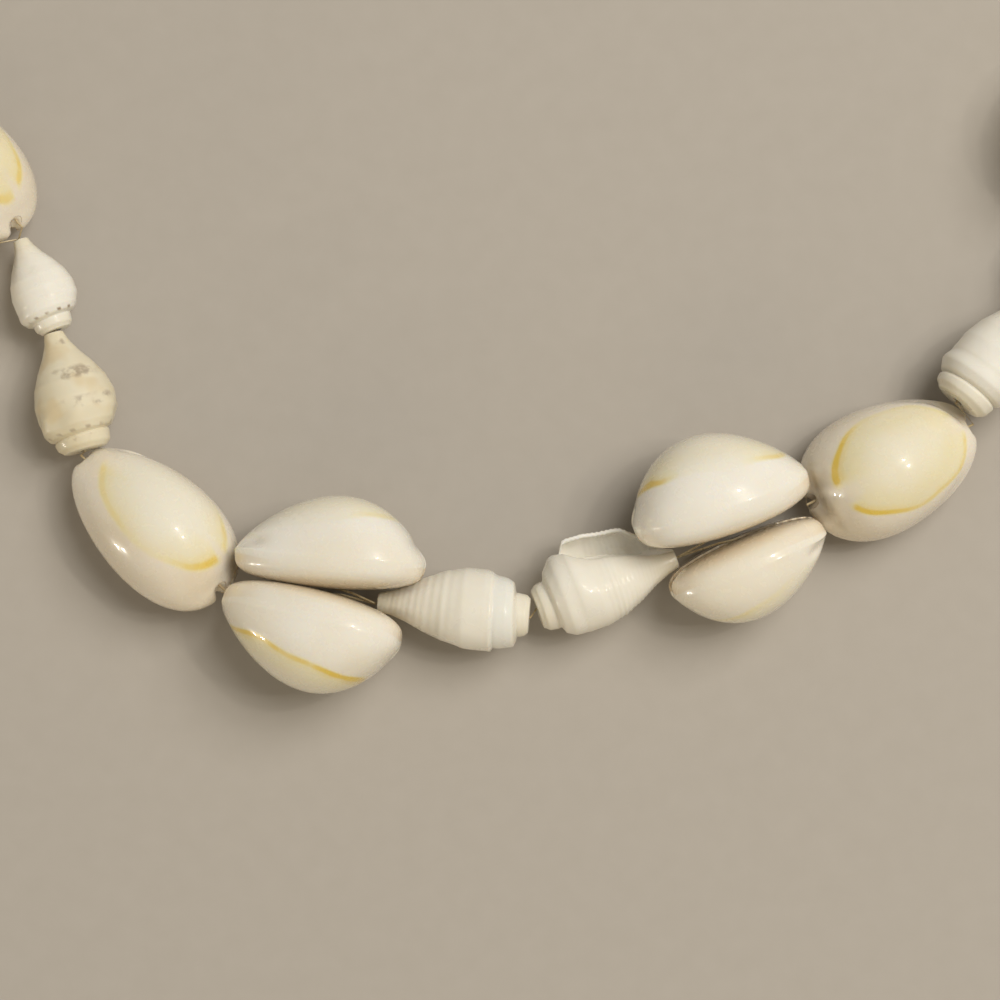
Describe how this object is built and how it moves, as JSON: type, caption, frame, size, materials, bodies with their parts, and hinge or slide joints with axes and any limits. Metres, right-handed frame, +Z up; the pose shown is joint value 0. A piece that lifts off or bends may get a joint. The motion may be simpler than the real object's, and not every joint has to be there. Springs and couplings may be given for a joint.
{
  "type": "shell necklace",
  "caption": "Closed necklace of small whole shells on a doubled thread: pairs of ring cowries, single cowries and conch shells in a repeating pattern, with a small barrel clasp.",
  "frame": {"origin": "centre of the necklace's outline in plan, on the surface that it lies on", "axes": "+Z up from the surface, -Y towards the middle of the front, +X to the wearer's left as it is seen from above"},
  "size_m": [0.158, 0.169, 0.0139],
  "materials": {
    "cowrie_shell": "gloss",
    "conch_shell": "satin",
    "thread": "clear gloss",
    "clasp": "satin"
  },
  "bodies": {
    "root": {"conch_l1": "conch_shell", "conch_l12": "conch_shell", "conch_l13": "conch_shell", "conch_l4": "conch_shell", "conch_l5": "conch_shell", "conch_l8": "conch_shell", "conch_l9": "conch_shell", "conch_r1": "conch_shell", "conch_r12": "conch_shell", "conch_r13": "conch_shell", "conch_r4": "conch_shell", "conch_r5": "conch_shell", "conch_r8": "conch_shell", "conch_r9": "conch_shell", "cowrie_l10_inner": "cowrie_shell", "cowrie_l10_outer": "cowrie_shell", "cowrie_l11": "cowrie_shell", "cowrie_l14_inner": "cowrie_shell", "cowrie_l14_outer": "cowrie_shell", "cowrie_l2_inner": "cowrie_shell", "cowrie_l2_outer": "cowrie_shell", "cowrie_l3": "cowrie_shell", "cowrie_l6_inner": "cowrie_shell", "cowrie_l6_outer": "cowrie_shell", "cowrie_l7": "cowrie_shell", "cowrie_r10_inner": "cowrie_shell", "cowrie_r10_outer": "cowrie_shell", "cowrie_r11": "cowrie_shell", "cowrie_r14_inner": "cowrie_shell", "cowrie_r14_outer": "cowrie_shell", "cowrie_r2_inner": "cowrie_shell", "cowrie_r2_outer": "cowrie_shell", "cowrie_r3": "cowrie_shell", "cowrie_r6_inner": "cowrie_shell", "cowrie_r6_outer": "cowrie_shell", "cowrie_r7": "cowrie_shell", "thread_inner": "thread", "thread_outer": "thread", "clasp": "clasp"}
  },
  "joints": []
}
